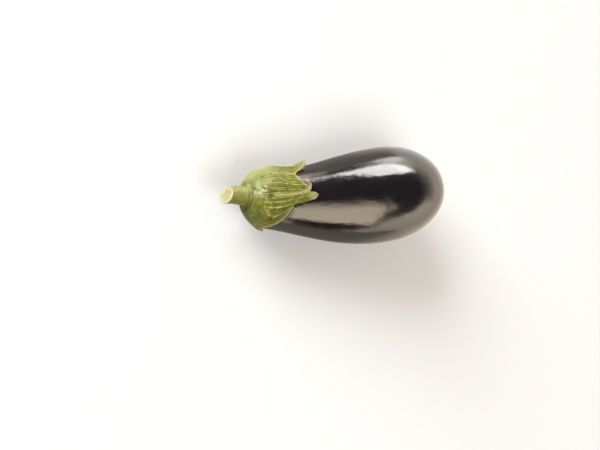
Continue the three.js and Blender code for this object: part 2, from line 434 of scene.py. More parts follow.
def draw_curve(knots, steps):
    """Adds a Bezier curve through the knots, each of them a handle, a place and the other handle."""
    bpy.ops.object.select_all(action="DESELECT")
    bpy.ops.curve.primitive_bezier_curve_add(location=(0, 0, 0))
    curve = bpy.context.object
    spline = curve.data.splines[0]
    spline.bezier_points.add(len(knots) - len(spline.bezier_points))
    for point, (before, place, after) in zip(spline.bezier_points, knots):
        point.handle_left_type = point.handle_right_type = "FREE"
        point.handle_left, point.co, point.handle_right = before, place, after
    spline.resolution_u = steps
    return curve


def select_only(piece):
    """Makes one object the active one and the only one selected."""
    bpy.ops.object.select_all(action="DESELECT")
    piece.select_set(True)
    bpy.context.view_layer.objects.active = piece


def read_points(piece):
    """The places of a mesh's vertices, as rows of X, Y and Z."""
    points = np.empty(3 * len(piece.data.vertices))
    piece.data.vertices.foreach_get("co", points)
    return points.reshape(-1, 3)


def write_points(piece, points):
    """Moves a mesh's vertices to new places."""
    piece.data.vertices.foreach_set("co", points.ravel())


def write_mark(piece, name, values):
    """Stores one number for each vertex, which a material can read."""
    mark = piece.data.attributes.new(name, "FLOAT", "POINT")
    mark.data.foreach_set("value", np.ascontiguousarray(values, dtype=np.float32).ravel())


def close_surface():
    """Merges what meets in the mesh that is being edited, and points its faces outwards."""
    bpy.ops.mesh.select_all(action="SELECT")
    bpy.ops.mesh.remove_doubles(threshold=MERGE_DISTANCE)
    bpy.ops.mesh.normals_make_consistent(inside=False)


def spin_fruit(shape):
    """Spins the outline about X into the straight fruit."""
    outline = [tuple((x, 0, z) for x, z in knot) for knot in profile_knots(shape)]
    draw_curve(outline, PROFILE_STEPS)
    bpy.ops.object.convert(target="MESH")
    bpy.ops.object.mode_set(mode="EDIT")
    bpy.ops.mesh.select_all(action="SELECT")
    bpy.ops.mesh.spin(steps=SPIN_STEPS, angle=2 * pi, center=(0, 0, 0), axis=(1, 0, 0))
    close_surface()
    bpy.ops.transform.resize(value=(1, OVAL, 1), center_override=(0, 0, 0))
    bpy.ops.object.mode_set(mode="OBJECT")
    return bpy.context.object


def dent_blossom_end(fruit, shape):
    """Sinks a dimple into the blossom end and marks the scar in its middle."""
    points = read_points(fruit)
    off_axis = np.hypot(points[:, 1], points[:, 2])
    at_end = points[:, 0] > shape.belly_at
    points[:, 0] -= swell(off_axis, *SCAR_DIMPLE) * at_end
    write_points(fruit, points)
    write_mark(fruit, "scar", swell(off_axis, SCAR_RADIUS) * at_end)


def roughen(piece, name, size, height):
    """Makes a surface a little uneven, with waves of a size and height."""
    waves = bpy.data.textures.new(name, type="CLOUDS")
    waves.noise_scale = size
    displace = piece.modifiers.new(name, "DISPLACE")
    displace.texture = waves
    displace.texture_coords = "LOCAL"
    displace.strength = height
    select_only(piece)
    bpy.ops.object.modifier_apply(modifier=displace.name)
    bpy.data.textures.remove(waves)


def bend_along_core(piece, shape):
    """Bends a straight piece along the core, which runs from the crown to the blossom end."""
    thirds = [Vector((shape.fruit_length * i / 3, side, up)) for i, (side, up) in enumerate(CORE_BEND)]
    crown, after_crown, before_end, end = thirds
    core = draw_curve(
        [(2 * crown - after_crown, crown, after_crown), (before_end, end, 2 * end - before_end)], CORE_STEPS
    )
    core.data.twist_mode = "Z_UP"
    points = read_points(piece)
    stretch = core.data.splines[0].calc_length() / shape.fruit_length
    points[:, 0] *= np.where(points[:, 0] > 0, stretch, 1)
    write_points(piece, points)
    bend = piece.modifiers.new("Core", "CURVE")
    bend.object = core
    bend.deform_axis = "POS_X"
    select_only(piece)
    bpy.ops.object.modifier_apply(modifier=bend.name)
    bpy.data.objects.remove(core)


def lean_and_move(piece, pitch, place):
    """Turns a bent piece as it rests, moves it to its place and bakes both into its mesh."""
    select_only(piece)
    piece.rotation_euler = (0, -pitch, 0)
    piece.location = place
    bpy.ops.object.transform_apply(location=True, rotation=True, scale=True)


def find_crown(fruit):
    """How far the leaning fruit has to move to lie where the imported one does."""
    points = read_points(fruit)
    low, high = (Vector(corner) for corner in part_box("fruit"))
    least, most = Vector(points.min(axis=0)), Vector(points.max(axis=0))
    shift = (low + high - least - most) / 2
    shift.z = high.z - most.z
    return shift


def press_flat(fruit):
    """Presses what is below the floor flat against it."""
    points = read_points(fruit)
    points[:, 2] = np.maximum(points[:, 2], 0)
    write_points(fruit, points)


def hand_over(piece, name, node, finish):
    """Names a finished piece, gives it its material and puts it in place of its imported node."""
    select_only(piece)
    bpy.ops.object.shade_smooth()
    piece.name = piece.data.name = name
    piece.data.materials.clear()
    piece.data.materials.append(finish)
    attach(piece, "root")
    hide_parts(node)


# The calyx and the stalk


def sample_profile(shape):
    """The outline in small steps: the distance along it, its places as X and radius, and its directions."""
    knots = np.array(profile_knots(shape))
    share = np.linspace(0, 1, PROFILE_SAMPLES)[:, None]
    rest = 1 - share
    line = np.concatenate(
        [
            rest**3 * start
            + 3 * rest**2 * share * leaving
            + 3 * rest * share**2 * arriving
            + share**3 * end
            for (_, start, leaving), (arriving, end, _) in zip(knots[:-1], knots[1:])
        ]
    )
    steps = np.linalg.norm(np.diff(line, axis=0), axis=1)
    line = line[np.concatenate(([True], steps > 0))]
    distance = np.concatenate(([0], np.cumsum(steps[steps > 0])))
    return distance, line, np.gradient(line, distance, axis=0)


def skin_radius(profile, distance):
    """The skin's radius at a distance from the crown."""
    return np.interp(distance, profile[0], profile[1][:, 1])


def over_skin(profile, distance, azimuth, height):
    """Places at a height over the straight skin, by distance from the crown and azimuth in degrees."""
    distances, line, slopes = profile
    along, radius = (np.interp(distance, distances, line[:, i]) for i in (0, 1))
    run, widen = (np.interp(distance, distances, slopes[:, i]) for i in (0, 1))
    reach = radius + height * run
    turn = np.radians(azimuth)
    return np.stack([along - height * widen, reach * np.sin(turn) * OVAL, reach * np.cos(turn)], axis=-1)


def tongue(away):
    """How far a lobe's tip reaches at an azimuth away from its middle: 1 in the middle, dropping to 0."""
    return np.exp(-((np.abs(away) / TONGUE_WIDTH) ** TONGUE_BLUNTNESS))


def half_lobe(notch, tip, curl, side, shares):
    """The lines from the stalk to the rim over half a lobe, by their shares of the way to its tip."""
    (notch_root, notch_rim, notch_reach), (tip_root, tip_rim, tip_reach) = notch, tip
    shares = shares[None, :]
    half_width = abs(tip_rim - notch_rim)
    foot = tongue(half_width)
    tongue_share = (tongue(half_width * (1 - shares)) - foot) / (1 - foot)
    return SimpleNamespace(
        share=shares,
        root=mix(notch_root, tip_root, shares),
        rim=mix(notch_rim, tip_rim, shares),
        reach=mix(notch_reach, tip_reach, mix(shares, tongue_share, TONGUE_LENGTH)),
        side=side,
        rib_root=tip_root,
        rib_rim=tip_rim,
        tip_reach=tip_reach,
        crease_root=notch_root,
        crease_rim=notch_rim,
        crease_reach=notch_reach,
        curl=curl,
    )


def calyx_lines():
    """All the lines from the stalk to the rim, once round, as one list of half lobes."""
    even = np.arange(HALF_LOBE_COLUMNS) / HALF_LOBE_COLUMNS
    rising, falling = 1 - (1 - even) ** TIP_CROWDING, 1 - even**TIP_CROWDING
    halves = []
    for number, (notch, tip, curl) in enumerate(LOBES):
        rib = FIRST_RIB + number * RIB_SPACING
        last = number + 1 == len(LOBES)
        next_azimuth, next_reach = LOBES[0 if last else number + 1][0]
        ridge = (rib, *tip)
        before = (rib - RIB_SPACING / 2, *notch)
        after = (rib + RIB_SPACING / 2, next_azimuth + 360 * last, next_reach)
        halves.append(half_lobe(before, ridge, curl, -1, rising))
        halves.append(half_lobe(after, ridge, curl, 1, np.append(falling, 0) if last else falling))
    return halves


def rim_wobble(azimuth):
    """Small uneven waves round the rim."""
    rng = np.random.default_rng(SEED)
    turn = np.radians(azimuth)
    waves = sum(np.sin(count * turn + rng.uniform(0, 2 * pi)) / weight for count, weight in RIM_WAVES)
    return RIM_WAVE_HEIGHT * waves


def crown_wobble(azimuth):
    """Smooth unevenness of the crown's edge, from about -1 to 1."""
    rng = np.random.default_rng(SEED + 1)
    waves = 0
    for _ in range(CROWN_WAVES):
        count = rng.integers(*CROWN_WAVE_COUNTS)
        waves = waves + np.sin(count * np.radians(azimuth) + rng.uniform(0, 2 * pi))
    return waves / CROWN_WAVES


def folds(fan, distance):
    """Irregular folds from 0 to 1 that fan out over the calyx, by where round the stalk they start."""
    rng = np.random.default_rng(SEED + 4)
    turn = np.radians(fan)
    waves = 0
    for number, count in enumerate(FOLD_COUNTS, start=1):
        phase, fading = rng.uniform(0, 2 * pi, 2)
        strength = 1 + FOLD_FADING * np.sin(2 * pi * distance / FOLD_LENGTH + number * turn + fading)
        waves = waves + strength * np.sin(count * turn + phase)
    return ease(*FOLD_EDGES, waves / len(FOLD_COUNTS))


def across_lobe(line, distance, azimuth, root_reach):
    """How far across its lobe a place is: 0 on the rib, and 1 in the crease or at the rim beside it."""
    order = np.argsort(line.reach[0])
    at_rim = np.interp(distance, line.reach[0][order], line.rim[0][order])
    down_rib = (distance - root_reach) / (line.tip_reach - root_reach)
    down_crease = np.clip((distance - root_reach) / (line.crease_reach - root_reach), 0, 1)
    rib = mix(line.rib_root, line.rib_rim, down_rib)
    crease = mix(line.crease_root, line.crease_rim, down_crease)
    side = np.where(distance > line.crease_reach, at_rim, crease)
    width = np.where(np.abs(side - rib) > LEAST_HALF_LOBE, side - rib, LEAST_HALF_LOBE * line.side)
    return np.clip((azimuth - rib) / width, 0, 1)


def leaf_ground(profile, shape, line, share):
    """Where the places of half a lobe lie on the calyx, and how its folds and its tip run there."""
    root_reach = shape.stalk_root_radius
    reach = line.reach + rim_wobble(line.rim) * (1 - line.share**4)
    distance = mix(root_reach, reach, share)
    azimuth = mix(line.root, line.rim, share)
    radius = skin_radius(profile, distance)
    from_rib = np.radians(azimuth - mix(line.rib_root, line.rib_rim, share)) * radius
    from_crease = np.radians(azimuth - mix(line.crease_root, line.crease_rim, share)) * radius
    fan = line.rib_root + line.side * across_lobe(line, distance, azimuth, root_reach) * RIB_SPACING / 2
    fold = folds(fan, distance)
    wandering = distance + CROWN_WANDER * crown_wobble(azimuth) + CROWN_FRINGE * (fold - FRINGE_MIDDLE)
    leafy = ease(CROWN_END, CROWN_END + CROWN_STEP_WIDTH, wandering)
    to_tip = line.tip_reach - distance
    return SimpleNamespace(
        share=share,
        distance=distance,
        azimuth=azimuth,
        from_rib=from_rib,
        from_crease=from_crease,
        from_crown=wandering - CROWN_END - CROWN_STEP_WIDTH,
        to_rim=(1 - share) * (reach - root_reach),
        to_tip=to_tip,
        fan=fan,
        fold=fold * leafy,
        leafy=leafy,
        tip=ease(*TIP_START, to_tip) * swell(from_rib, TIP_WIDTH),
    )


def tip_lift(line, ground):
    """How far a lobe's tip curls off the skin."""
    free = np.clip(1 - ground.to_tip / CURL_LENGTH, 0, 1)
    return line.curl * free**2 * swell(ground.from_rib, 2 * RIB_WIDTH)


def crown_relief(shape, line, ground):
    """The flare, groove, dome and crest of the crown, and its step down to the lobes."""
    root_reach, distance = shape.stalk_root_radius, ground.distance
    rising = ease(root_reach, DOME_AT, distance)
    flare = FLARE_HEIGHT * np.exp(-(distance - root_reach) / FLARE_WIDTH)
    groove = swell(distance - GROOVE_AT, *GROOVE)
    dome_height = DOME_HEIGHT + DOME_LEAN * np.sin(np.radians(ground.azimuth))
    dome = swell(distance - DOME_AT, DOME_WIDTH, dome_height)
    crest = ease(-CREST_EDGE, CREST_EDGE, ground.from_crease) * swell(ground.from_crease, *CREST)
    on_crest = np.isclose(line.crease_root, CREST_TURN)
    crest = crest * ease(root_reach, root_reach + CREST_START, distance) * on_crest
    return flare + dome * rising - groove + (CROWN_STEP * rising + crest) * (1 - ground.leafy)


def lobe_relief(shape, line, ground):
    """The thickness of the calyx with the ribs, creases and folds of its lobes, and their rounded edges."""
    thickness = mix(shape.crown_thickness, shape.rim_thickness, np.sqrt(ground.share))
    rib = RIB_HEIGHT * swell(ground.from_rib, RIB_WIDTH) * (1 - ground.share**4)
    crease = CREASE_DEPTH * swell(ground.from_crease, CREASE_WIDTH) * np.sin(pi * np.sqrt(ground.share))
    roll = ROLL_HEIGHT * swell(ground.to_rim - ROLL_WIDTH, ROLL_WIDTH)
    edge = EDGE_ROUNDING * swell(ground.to_rim, EDGE_ROUNDING)
    swollen = TIP_SWELL * line.curl * ground.tip
    return thickness + swollen + (rib - crease) * ground.leafy + FOLD_HEIGHT * ground.fold + roll - edge


def spots(profile, ground, size, stretch, places):
    """Soft spots on the calyx: 1 in the middle of each, and 0 far off."""
    radius = skin_radius(profile, ground.distance)
    total = 0
    for distance, azimuth in places:
        aside = stretch * np.radians(ground.azimuth - azimuth) * radius
        total = total + swell(np.hypot(ground.distance - distance, aside), size)
    return total


def side_of(azimuth, middle, reach, share=1):
    """How much a place is on one side of the calyx or the stalk, from 0 to the share."""
    return swell(azimuth - middle, reach, share)


def leaf_marks(profile, ground):
    """What the finish reads on the calyx."""
    azimuth, distance, leafy = ground.azimuth, ground.distance, ground.leafy
    marks = {name: spots(profile, ground, *kind) for name, kind in SPOTS.items()}
    groove = swell(distance - GROOVE_AT, *GROOVE_SHADE)
    # Painted shade: darker and browner on the crown's side towards -Y, less so on its lobes, and on the
    # lobes towards +Y
    painted_shade_crown = side_of(azimuth, *PAINTED_SHADE_CROWN) * (1 - SHADE_LOST_ON_LOBES * leafy)
    painted_shade_lobes = PAINTED_SHADE_LOBES_SHARE * leafy * ease(*PAINTED_SHADE_LOBES_FROM, azimuth)
    # Painted light: paler on the crown's side towards +Y, fading on the lobes
    painted_light_crown = side_of(azimuth, *PAINTED_LIGHT_CROWN) * (1 - leafy * ease(CROWN_END, 2 * CROWN_END, distance))
    return marks | {
        "fold": ground.fold,
        "leafy": leafy,
        "round_x": np.cos(np.radians(ground.fan)),
        "round_y": np.sin(np.radians(ground.fan)),
        "down": distance / FIBRE_LENGTH,
        "crown": swell(ground.from_crown, CROWN_STEP_WIDTH),
        "rim": swell(ground.to_rim, RIM_WIDTH),
        "tip": ground.tip,
        "crease": swell(ground.from_crease, CREASE_WIDTH / 2) * leafy,
        # Painted shade in the groove round the stalk and by its foot
        "hollow": np.maximum(marks["hollow"], groove),
        # Where painted shade darkens the calyx
        "shade": np.maximum(painted_shade_crown, painted_shade_lobes),
        "sunny": painted_light_crown,
        "stalk": 0,
        "cut": 0,
    }


def leaf_layer(profile, shape, line, share, over):
    """One face of half a lobe: its places and marks at shares of the way from the stalk to the rim."""
    ground = leaf_ground(profile, shape, line, share)
    height = GAP + tip_lift(line, ground)
    if over:
        height = height + crown_relief(shape, line, ground) + lobe_relief(shape, line, ground)
    return over_skin(profile, ground.distance, ground.azimuth, height), leaf_marks(profile, ground)


def unit(vectors):
    """Vectors brought to a length of 1."""
    return vectors / np.linalg.norm(vectors, axis=-1, keepdims=True)


def stalk_core(shape, share):
    """The stalk's middle line, at shares of its length: its places, and the ways onward, aside and up."""
    half = shape.stalk_length / 2
    root = np.array([-(GAP + shape.crown_thickness + FLARE_HEIGHT), 0, 0])
    bend = root - np.array([half, 0, 0])
    cut = bend + half * np.array([-1, -tan(radians(STALK_LEAN)), tan(shape.stalk_rise)])
    share = share[..., None]
    rest = 1 - share
    middle = rest**2 * root + 2 * rest * share * bend + share**2 * cut
    onward = unit(rest * (bend - root) + share * (cut - bend))
    up = unit(np.array([0, 0, 1]) - onward[..., 2:] * onward)
    return middle, onward, np.cross(onward, up), up


def stalk_layer(shape, line, share, fullness, sink):
    """Rings of the stalk, by their shares of its length and its full radius, and how far they sink in."""
    middle, onward, aside, up = stalk_core(shape, share)
    turn = np.radians(line.root)
    ridge = 1 + STALK_RIDGE * (1 - share) * np.cos(STALK_RIDGES * np.radians(line.root - line.rib_root))
    wrinkles = WRINKLE_HEIGHT * np.cos(2 * pi * share / WRINKLE_SPACING) * swell(share, WRINKLES_FADE)
    taper = mix(shape.stalk_cut_radius, shape.stalk_root_radius, (1 - share) ** STALK_TAPER)
    radius = (taper + wrinkles) * ridge * fullness
    outward = aside * np.sin(turn)[..., None] + up * np.cos(turn)[..., None]
    slant = tan(radians(CUT_SLANT)) * ease(CUT_SLANT_START, 1, share) * radius * np.sin(turn)
    places = middle + radius[..., None] * outward - (sink + slant)[..., None] * onward
    on_leaf = ("fold", "leafy", "crown", "rim", "tip", "crease", "bruise", "waxy", "scar", "shade")
    return places, dict.fromkeys(on_leaf, 0) | {
        # Painted shade where the stalk's wrinkles sink in
        "hollow": WRINKLE_SHADE * ease(0, 1, -wrinkles / WRINKLE_HEIGHT),
        "round_x": np.cos(turn),
        "round_y": np.sin(turn),
        "down": -share * shape.stalk_length / FIBRE_LENGTH,
        # Painted light: paler on the stalk's side towards +Y
        "sunny": side_of(line.root, *PAINTED_LIGHT_STALK),
        "stalk": ease(0, STALK_START, share),
        "cut": np.where(share < 1, 0, 2 - fullness),
    }


def stalk_rings():
    """The stalk's rings up to the middle of its cut: shares of its length and its radius, and sinks."""
    up = np.arange(1, STALK_ROWS) / STALK_ROWS
    inwards = np.linspace(CUT_FACE_SHARE, 0, CUT_ROWS)
    edge_at, edge_fullness, edge_drop = CUT_EDGE
    share = np.concatenate((up, [edge_at, 1], np.ones(CUT_ROWS)))
    fullness = np.concatenate((np.ones(STALK_ROWS), [edge_fullness], inwards))
    pith = PITH_DEPTH * ease(1, 0.5, inwards / PITH_SHARE)
    sink = np.concatenate((np.zeros(STALK_ROWS), [edge_drop], pith))
    return share[:, None], fullness[:, None], sink[:, None]


def half_calyx(profile, shape, line):
    """Half a lobe with its part of the stalk: rows from under the crown to the rim, back over, and up."""
    under = np.linspace(0, 1, UNDER_ROWS)[:, None]
    over = (1 - np.linspace(0, 1, OVER_ROWS) ** RIM_CROWDING)[:, None]
    parts = [
        leaf_layer(profile, shape, line, under, over=False),
        leaf_layer(profile, shape, line, over, over=True),
        stalk_layer(shape, line, *stalk_rings()),
    ]
    pole = np.broadcast_to(np.array([-GAP, 0, 0]), (1, *parts[0][0].shape[1:]))
    places = np.concatenate([pole] + [places for places, _ in parts])
    woven = {}
    for name in parts[0][1]:
        rows = [np.broadcast_to(marks[name], places.shape[:2]) for places, marks in parts]
        woven[name] = np.concatenate([rows[0][:1], *rows])
    return places, woven


def weave_calyx(shape):
    """Lays a flat grid over the straight fruit as the calyx and rolls it up into the stalk."""
    profile = sample_profile(shape)
    halves = [half_calyx(profile, shape, line) for line in calyx_lines()]
    places = np.concatenate([places for places, _ in halves], axis=1)
    rows, columns = places.shape[:2]
    bpy.ops.object.select_all(action="DESELECT")
    bpy.ops.mesh.primitive_grid_add(x_subdivisions=columns - 1, y_subdivisions=rows - 1, size=1)
    calyx = bpy.context.object
    grid = read_points(calyx)
    column = np.rint((grid[:, 0] + 0.5) * (columns - 1)).astype(int)
    row = np.rint((grid[:, 1] + 0.5) * (rows - 1)).astype(int)
    write_points(calyx, places[row, column])
    for name in halves[0][1]:
        mark = np.concatenate([marks[name] for _, marks in halves], axis=1)
        write_mark(calyx, name, mark[row, column])
    bpy.ops.object.mode_set(mode="EDIT")
    close_surface()
    bpy.ops.object.mode_set(mode="OBJECT")
    return calyx


# Materials


class Nodes:
    """Builds shader nodes. Its helpers take plain values or other nodes' outputs alike."""

    def __init__(self, tree, coordinates):
        self.tree = tree
        self.place = self.node("ShaderNodeTexCoord").outputs[coordinates]

    def node(self, kind, inputs=None, **settings):
        """Adds a node, sets it up and feeds its sockets."""
        node = self.tree.nodes.new(kind)
        for name, value in settings.items():
            setattr(node, name, value)
        for name, value in (inputs or {}).items():
            self.feed(node.inputs[name], value)
        return node

    def feed(self, socket, value):
        """Links an output to a socket, or sets the socket to a plain value."""
        if isinstance(value, bpy.types.NodeSocket):
            self.tree.links.new(value, socket)
        else:
            socket.default_value = value

    def chain(self, kind, output, values, **settings):
        """Joins values two by two with nodes of one kind."""
        total, *others = values
        for value in others:
            node = self.node(kind, **settings)
            self.feed(node.inputs[0], total)
            self.feed(node.inputs[1], value)
            total = node.outputs[output]
        return total

    def math(self, operation, *values):
        """Arithmetic with numbers."""
        return self.chain("ShaderNodeMath", "Value", values, operation=operation)

    def times(self, *values):
        """Numbers multiplied."""
        return self.math("MULTIPLY", *values)

    def add_up(self, *shaders):
        """Shaders laid one on another."""
        return self.chain("ShaderNodeAddShader", "Shader", shaders)

    def split(self):
        """The place's parts along X, Y and Z."""
        return tuple(self.node("ShaderNodeSeparateXYZ", {"Vector": self.place}).outputs)

    def stretched(self, stretch, place=None):
        """A place with its axes stretched."""
        inputs = {"Vector": place or self.place, "Scale": stretch}
        return self.node("ShaderNodeMapping", inputs).outputs["Vector"]

    def noise(self, scale, detail, place=None, distortion=0):
        """Cloudy noise, from 0 to 1."""
        inputs = {"Vector": place or self.place, "Scale": scale, "Detail": detail, "Distortion": distortion}
        return self.node("ShaderNodeTexNoise", inputs).outputs["Fac"]

    def remap(self, value, low, high, to_low=0.0, to_high=1.0):
        """Moves a range of values smoothly to another."""
        inputs = {"Value": value, "From Min": low, "From Max": high, "To Min": to_low, "To Max": to_high}
        return self.node("ShaderNodeMapRange", inputs, interpolation_type="SMOOTHSTEP").outputs["Result"]

    def fade(self, value, low, high):
        """Drops smoothly from 1 to 0 over a range of values."""
        return self.remap(value, low, high, 1.0, 0.0)

    def band(self, value, start, full, fading, gone):
        """Is 1 between two soft edges, and 0 outside them."""
        return self.times(self.remap(value, start, full), self.fade(value, fading, gone))

    def blend(self, share, under, over):
        """Mixes one colour over another."""
        node = self.node("ShaderNodeMix", {"Factor": share}, data_type="RGBA")
        self.feed(node.inputs[MIX_A], under)
        self.feed(node.inputs[MIX_B], over)
        return node.outputs[MIX_RESULT]

    def choose(self, share, under, over):
        """Mixes one shader over another."""
        node = self.node("ShaderNodeMixShader")
        for socket, value in zip(node.inputs, (share, under, over)):
            self.feed(socket, value)
        return node.outputs["Shader"]


class Finish(Nodes):
    """One material, mapped by the place on its piece and painted in layers of named colours."""

    def __init__(self, name, colours):
        self.material = bpy.data.materials.new(name)
        self.material.use_nodes = True
        super().__init__(self.material.node_tree, "Object")
        self.colours = colours
        self.colour = None

    def named(self, name):
        """One of the user's colours."""
        return tuple(getattr(self.colours, name))

    def paint(self, name, *shares):
        """Lays a named colour over the layers below it, by the product of some shares."""
        self.colour = self.blend(self.times(*shares), self.colour, self.named(name))

    def mark(self, name):
        """A number that the piece's vertices carry."""
        return self.node("ShaderNodeAttribute", attribute_name=name).outputs["Fac"]

    def bump(self, height, distance, under=None):
        """Raises the surface's look by a height map, of a depth in metres."""
        inputs = {"Height": height, "Distance": distance, "Strength": 1.0}
        if under:
            inputs["Normal"] = under
        return self.node("ShaderNodeBump", inputs).outputs["Normal"]

    def finish(self, **values):
        """Feeds the main shader's sockets, named with underscores, and gives the material."""
        for name, value in values.items():
            self.feed(self.tree.nodes["Principled BSDF"].inputs[name.replace("_", " ")], value)
        return self.material


def skin_finish(colours):
    """Waxy, almost black purple skin, redder at the neck, with a corky scar at the blossom end."""
    skin = Finish("eggplant_skin", colours)
    along = skin.split()[0]
    streaks = skin.noise(70, 5, skin.stretched((0.25, 1, 1)), 0.4)
    blotches = skin.noise(35, 3)
    scar = skin.remap(skin.math("ADD", skin.mark("scar"), skin.noise(900, 3)), 0.85, 1.1)
    skin.colour = skin.named("skin")
    skin.paint("skin_lit", skin.remap(streaks, 0.45, 0.75))
    skin.paint("skin_neck", skin.remap(along, *SKIN_NECK), skin.remap(blotches, 0.3, 0.7, 0.4, 1))
    skin.paint("skin_end", skin.remap(along, *SKIN_END), skin.remap(blotches, 0.35, 0.65, 0.3, 1))
    skin.paint("scar", scar)
    gloss = skin.remap(skin.noise(160, 5, skin.stretched((0.3, 1, 1))), 0.3, 0.75, *SKIN_ROUGHNESS)
    ripples = skin.bump(skin.noise(95, 2, skin.stretched((0.22, 1, 1))), SKIN_RIPPLE_DEPTH)
    ridges = skin.bump(skin.noise(300, 3, skin.stretched((0.3, 1, 1))), SKIN_RIDGE_DEPTH, ripples)
    return skin.finish(
        Base_Color=skin.colour,
        Roughness=skin.math("ADD", gloss, skin.times(scar, SCAR_ROUGHNESS)),
        IOR=1.8,
        Coat_Weight=0.35,
        Coat_Roughness=0.05,
        Normal=skin.bump(skin.noise(280, 4), SKIN_GRAIN_DEPTH, ridges),
    )


def paint_folds(leaf, leafy, fan, threads, blisters):
    """Paints the calyx's greens: deep between the folds, pale along them, and flecked all over."""
    beads = leaf.noise(24, 3, leaf.stretched((1, 1, 3), fan), 0.2)
    on_crown = leaf.times(blisters, leaf.math("SUBTRACT", 1, leafy))
    flecks = leaf.math("ADD", on_crown, leaf.times(beads, leafy))
    lines = leaf.math("ADD", leaf.times(leaf.mark("fold"), 0.55), threads)
    crests = leaf.times(leafy, leaf.remap(lines, 0.72, 0.95), leaf.remap(flecks, 0.4, 0.56, 0.3, 1))
    leaf.colour = leaf.named("leaf")
    leaf.paint("leaf_deep", leaf.remap(leaf.noise(110, 5, distortion=0.6), 0.42, 0.62, 0, 0.75))
    leaf.paint("leaf_deep", leafy, leaf.remap(lines, 0.4, 0.8, 0.9, 0))
    leaf.paint("leaf_pale", crests)
    leaf.paint("leaf_pale", leaf.remap(flecks, 0.52, 0.66, 0, 0.5))
    leaf.paint("leaf_deep", leaf.remap(flecks, 0.34, 0.48, 0.6, 0))
    leaf.paint("cream", leaf.mark("crease"), leaf.remap(threads, 0.3, 0.6, 0.2, 0.8))


def paint_wear(leaf, threads):
    """Paints the calyx's dry tips, its scars and its cream rim."""
    leaf.paint("cream", leaf.mark("tip"), leaf.remap(threads, 0.42, 0.6))
    edges = leaf.times(leaf.math("ADD", leaf.mark("crown"), leaf.mark("tip")), 0.35)
    worn = leaf.times(leaf.math("ADD", leaf.mark("scar"), edges), 0.35)
    leaf.paint("dry", leaf.remap(leaf.math("ADD", leaf.noise(260, 5), worn), 0.64, 0.8, 0, 0.8))
    leaf.paint("cream", leaf.mark("rim"), 0.8)


def paint_cut(leaf, stalk):
    """Paints the stalk's specks, and its pale cut with the pith and its pores."""
    cut = leaf.mark("cut")
    pith = leaf.remap(leaf.math("ADD", cut, leaf.times(leaf.noise(420, 4), 1.8)), 2.05, 2.4, 0, 0.85)
    leaf.paint("speck_and_hollow_shade", stalk, leaf.remap(leaf.noise(520, 2), 0.68, 0.72, 0, 0.9))
    leaf.paint("cut", leaf.remap(cut, 0.9, 1))
    leaf.paint("pith", pith)
    leaf.paint("leaf", pith, leaf.remap(leaf.noise(650, 2), 0.48, 0.62, 0, 0.4))


def calyx_finish(colours):
    """Olive calyx with pale folds, a cream rim, dry scars, and a corky stalk with a pale cut."""
    leaf = Finish("calyx_green", colours)
    leafy, stalk = leaf.mark("leafy"), leaf.mark("stalk")
    round_stalk = {"X": leaf.mark("round_x"), "Y": leaf.mark("round_y"), "Z": leaf.mark("down")}
    fan = leaf.node("ShaderNodeCombineXYZ", round_stalk).outputs["Vector"]
    threads = leaf.noise(36, 4, fan, 0.2)
    blisters = leaf.noise(330, 4)
    paint_folds(leaf, leafy, fan, threads, blisters)
    # Painted shade: browner olive on the crown's side towards -Y and on the lobes towards +Y
    leaf.paint("painted_shade_olive", leaf.mark("shade"), 0.5)
    leaf.paint("bruise", leaf.mark("bruise"), 0.85)
    # Painted shade in the groove round the stalk, between its wrinkles and by its foot
    leaf.paint("speck_and_hollow_shade", leaf.mark("hollow"), 0.8)
    leaf.paint("stalk", leaf.mark("stalk"), 0.85)
    leaf.paint("leaf_pale", stalk, leaf.remap(threads, 0.45, 0.65, 0, 0.7))
    # Painted light: paler green on the crown's and the stalk's sides towards +Y
    leaf.paint("painted_light_green", leaf.mark("sunny"), 0.72)
    # Painted highlights: whitish spots on the crown, broken up by the blisters
    leaf.paint("painted_highlight_green", leaf.mark("waxy"), leaf.remap(blisters, 0.3, 0.6, 0.25, 0.6))
    paint_wear(leaf, threads)
    paint_cut(leaf, stalk)
    relief = leaf.bump(threads, THREAD_DEPTH, leaf.bump(blisters, BLISTER_DEPTH))
    waxiness = leaf.remap(leaf.math("MAXIMUM", leafy, stalk), 0, 1, *LEAF_COAT)
    return leaf.finish(
        Base_Color=leaf.colour,
        Roughness=0.5,
        IOR=1.35,
        Coat_Weight=leaf.times(waxiness, leaf.remap(blisters, 0.45, 0.62)),
        Coat_Roughness=0.26,
        Sheen_Weight=0.45,
        Sheen_Roughness=0.35,
        Sheen_Tint=FUZZ_TINT,
        Normal=leaf.bump(leaf.noise(1500, 2), FUZZ_DEPTH, relief),
    )


